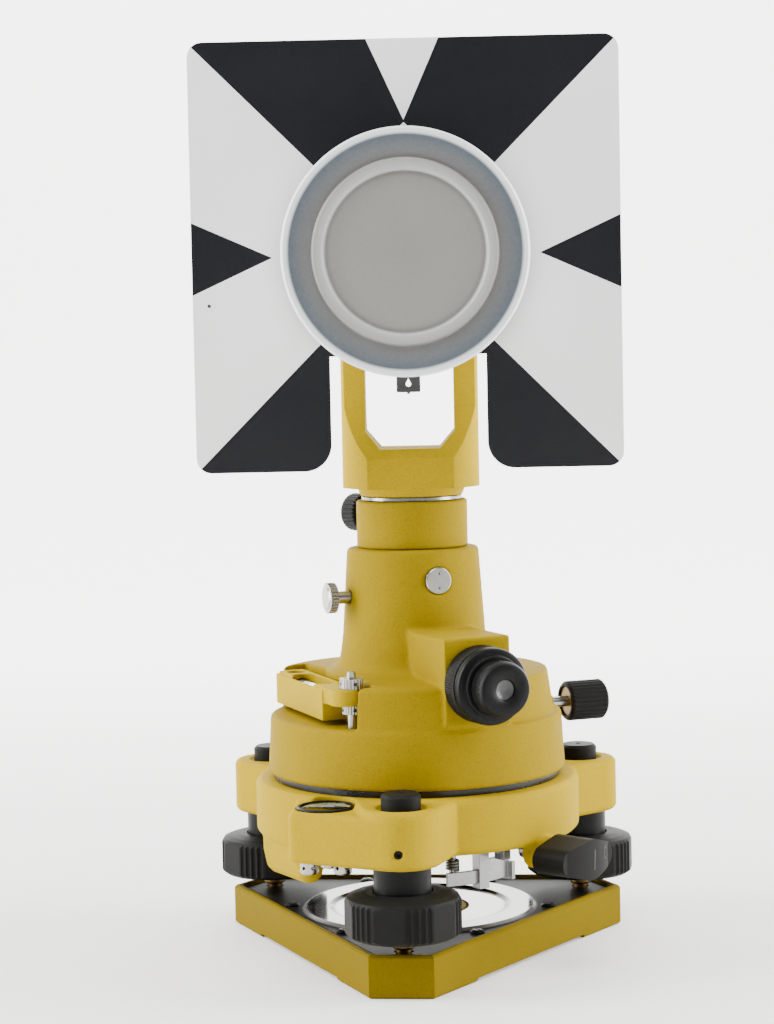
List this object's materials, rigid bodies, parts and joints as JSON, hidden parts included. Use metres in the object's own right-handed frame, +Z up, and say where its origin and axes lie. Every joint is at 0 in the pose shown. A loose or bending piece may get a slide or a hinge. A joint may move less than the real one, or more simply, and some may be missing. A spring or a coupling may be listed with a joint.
{
  "type": "traverse prism set",
  "caption": "Tilting survey prism with a sighting target and dust cap, on a rotating carrier with an optical plummet and a three-screw levelling base.",
  "frame": {"origin": "centre of the tripod thread on the underside of the base plate", "axes": "+Z up along the vertical axis, front of the reflector toward -Y, +X to the right seen from the front"},
  "size_m": [0.1474, 0.1377, 0.3072],
  "materials": {
    "base_plate": "casting in satin gold-yellow paint with a fine speckle",
    "spring_plate": "polished stainless sheet",
    "spring_screws": "nickel plated",
    "foot_knob_front": "black moulded, fluted",
    "foot_knob_right": "black moulded, fluted",
    "foot_knob_left": "black moulded, fluted",
    "foot_spindle_front": "turned",
    "foot_spindle_right": "turned",
    "foot_spindle_left": "turned",
    "foot_bushing_front": "black anodised",
    "foot_bushing_right": "black anodised",
    "foot_bushing_left": "black anodised",
    "screw_cap_front": "black moulded",
    "screw_cap_right": "black moulded",
    "screw_cap_left": "black moulded",
    "levelling_body": "casting in satin gold-yellow paint with a fine speckle",
    "level_cup": "black anodised",
    "level_glass": "glass with spirit",
    "level_nuts": "nickel plated",
    "grub_screw": "black anodised",
    "clamp_ring": "bright steel",
    "clamp_spring": "bright steel",
    "clamp_shaft": "bright steel",
    "clamp_lever": "black moulded, fluted",
    "flange": "dark anodised",
    "flange_pins": "bright steel",
    "carrier": "casting in satin gold-yellow paint with a fine speckle",
    "plummet_prism": "polished optical glass",
    "plummet_lens": "polished optical glass",
    "focus_ring": "black anodised",
    "eyepiece": "black anodised",
    "eyepiece_lens": "polished optical glass",
    "cover_disc": "nickel plated",
    "thumb_screw": "nickel plated",
    "brake_stem": "bright steel",
    "brake_washer": "turned",
    "brake_knob": "black moulded, fluted",
    "level_bar": "casting in satin gold-yellow paint with a fine speckle",
    "bar_vial": "glass with spirit",
    "bar_screw": "nickel plated",
    "level_stud": "nickel plated",
    "nut_upper": "nickel plated",
    "nut_lower": "nickel plated",
    "spigot": "bright steel",
    "collar": "casting in satin gold-yellow paint with a fine speckle",
    "collar_screw": "bright steel",
    "collar_knob": "black moulded, fluted",
    "lock_ring": "nickel plated",
    "yoke": "casting in satin gold-yellow paint with a fine speckle",
    "tilt_screw_left": "black anodised",
    "tilt_screw_right": "black anodised",
    "housing": "black anodised",
    "corner_cube": "polished optical glass",
    "bezel": "black anodised",
    "target_plate": "sheet with white and black enamelled fields",
    "target_screws": "nickel plated",
    "sight": "black anodised",
    "dust_cap": "milky translucent polyethylene"
  },
  "bodies": {
    "base": {"base_plate": "base_plate", "spring_plate": "spring_plate", "spring_screws": "spring_screws"},
    "screw_front": {"foot_knob_front": "foot_knob_front", "foot_spindle_front": "foot_spindle_front"},
    "screw_right": {"foot_knob_right": "foot_knob_right", "foot_spindle_right": "foot_spindle_right"},
    "screw_left": {"foot_knob_left": "foot_knob_left", "foot_spindle_left": "foot_spindle_left"},
    "leveller": {"levelling_body": "levelling_body", "foot_bushing_front": "foot_bushing_front", "foot_bushing_right": "foot_bushing_right", "foot_bushing_left": "foot_bushing_left", "screw_cap_front": "screw_cap_front", "screw_cap_right": "screw_cap_right", "screw_cap_left": "screw_cap_left", "level_cup": "level_cup", "level_glass": "level_glass", "level_nuts": "level_nuts", "grub_screw": "grub_screw"},
    "clamp_disc": {"clamp_ring": "clamp_ring", "clamp_spring": "clamp_spring"},
    "clamp_handle": {"clamp_lever": "clamp_lever", "clamp_shaft": "clamp_shaft"},
    "adapter": {"flange": "flange", "flange_pins": "flange_pins"},
    "alidade": {"carrier": "carrier", "plummet_prism": "plummet_prism", "plummet_lens": "plummet_lens", "cover_disc": "cover_disc", "level_bar": "level_bar", "bar_vial": "bar_vial", "bar_screw": "bar_screw", "level_stud": "level_stud", "spigot": "spigot"},
    "focus": {"focus_ring": "focus_ring"},
    "ocular": {"eyepiece": "eyepiece", "eyepiece_lens": "eyepiece_lens"},
    "side_screw": {"thumb_screw": "thumb_screw"},
    "brake": {"brake_stem": "brake_stem", "brake_washer": "brake_washer", "brake_knob": "brake_knob"},
    "level_nut_upper": {"nut_upper": "nut_upper"},
    "level_nut_lower": {"nut_lower": "nut_lower"},
    "collar_unit": {"collar": "collar"},
    "collar_clamp": {"collar_screw": "collar_screw", "collar_knob": "collar_knob"},
    "yoke_unit": {"yoke": "yoke", "lock_ring": "lock_ring"},
    "tilt_left": {"tilt_screw_left": "tilt_screw_left"},
    "tilt_right": {"tilt_screw_right": "tilt_screw_right"},
    "reflector": {"housing": "housing", "corner_cube": "corner_cube", "bezel": "bezel", "target_plate": "target_plate", "target_screws": "target_screws", "sight": "sight"},
    "cap": {"dust_cap": "dust_cap"}
  },
  "joints": [
    {"name": "foot_screw_front", "type": "hinge", "parent": "base", "child": "screw_front", "pos_m": [-0.00471, -0.06342, 0], "axis": [0, 0, 1], "range_deg": [-1440, 1440]},
    {"name": "foot_screw_right", "type": "hinge", "parent": "base", "child": "screw_right", "pos_m": [0.05728, 0.02763, 0], "axis": [0, 0, 1], "range_deg": [-1440, 1440]},
    {"name": "foot_screw_left", "type": "hinge", "parent": "base", "child": "screw_left", "pos_m": [-0.05257, 0.03579, 0], "axis": [0, 0, 1], "range_deg": [-1440, 1440]},
    {"name": "level_lift", "type": "slide", "parent": "base", "child": "leveller", "axis": [0, 0, 1], "range_m": [-0.0028, 0.0028]},
    {"name": "clamp_turn", "type": "hinge", "parent": "leveller", "child": "clamp_handle", "pos_m": [0, 0, 0.0382], "axis": [0.7632, -0.6461, 0], "range_deg": [0, 180]},
    {"name": "clamp_ring_turn", "type": "hinge", "parent": "leveller", "child": "clamp_disc", "pos_m": [0, 0, 0], "axis": [0, 0, 1], "range_deg": [0, 10]},
    {"name": "adapter_lift", "type": "slide", "parent": "leveller", "child": "adapter", "axis": [0, 0, 1], "range_m": [0, 0.03]},
    {"name": "carrier_turn", "type": "hinge", "parent": "adapter", "child": "alidade", "pos_m": [0, 0, 0], "axis": [0, 0, 1], "continuous": true},
    {"name": "focus_turn", "type": "hinge", "parent": "alidade", "child": "focus", "pos_m": [0, 0, 0.0963], "axis": [0.4226, -0.9063, 0], "range_deg": [-150, 150]},
    {"name": "eyepiece_turn", "type": "hinge", "parent": "focus", "child": "ocular", "pos_m": [0, 0, 0.0963], "axis": [0.4226, -0.9063, 0], "range_deg": [-180, 180]},
    {"name": "thumb_screw_turn", "type": "hinge", "parent": "alidade", "child": "side_screw", "pos_m": [0, 0, 0.1216], "axis": [-0.9272, -0.3746, 0], "range_deg": [-360, 360]},
    {"name": "brake_turn", "type": "hinge", "parent": "alidade", "child": "brake", "pos_m": [0, 0, 0.0803], "axis": [0.9272, 0.3746, 0], "range_deg": [-180, 180]},
    {"name": "upper_nut_turn", "type": "hinge", "parent": "alidade", "child": "level_nut_upper", "pos_m": [-0.02057, -0.03851, 0], "axis": [0, 0, 1], "range_deg": [-360, 360]},
    {"name": "lower_nut_turn", "type": "hinge", "parent": "alidade", "child": "level_nut_lower", "pos_m": [-0.02057, -0.03851, 0], "axis": [0, 0, 1], "range_deg": [-360, 360]},
    {"name": "collar_lift", "type": "slide", "parent": "alidade", "child": "collar_unit", "axis": [0, 0, 1], "range_m": [0, 0.026]},
    {"name": "collar_knob_turn", "type": "hinge", "parent": "collar_unit", "child": "collar_clamp", "pos_m": [0, 0, 0.1488], "axis": [-0.7071, 0.7071, 0], "range_deg": [-360, 360]},
    {"name": "yoke_turn", "type": "hinge", "parent": "collar_unit", "child": "yoke_unit", "pos_m": [0, 0, 0], "axis": [0, 0, 1], "continuous": true},
    {"name": "tilt_screw_left_turn", "type": "hinge", "parent": "yoke_unit", "child": "tilt_left", "pos_m": [0, 0, 0.23625], "axis": [-1, 0, 0], "range_deg": [-360, 360]},
    {"name": "tilt_screw_right_turn", "type": "hinge", "parent": "yoke_unit", "child": "tilt_right", "pos_m": [0, 0, 0.23625], "axis": [1, 0, 0], "range_deg": [-360, 360]},
    {"name": "prism_tilt", "type": "hinge", "parent": "yoke_unit", "child": "reflector", "pos_m": [0, 0, 0.23625], "axis": [1, 0, 0], "range_deg": [-40, 20]},
    {"name": "cap_off", "type": "slide", "parent": "reflector", "child": "cap", "axis": [0, -1, 0], "range_m": [0, 0.03]}
  ],
  "couplings": [
    {"joint": "foot_screw_front", "follows": "level_lift", "rad_per_m": 8976},
    {"joint": "foot_screw_right", "follows": "level_lift", "rad_per_m": 8976},
    {"joint": "foot_screw_left", "follows": "level_lift", "rad_per_m": 8976},
    {"joint": "clamp_ring_turn", "follows": "clamp_turn", "ratio": 0.055556}
  ]
}
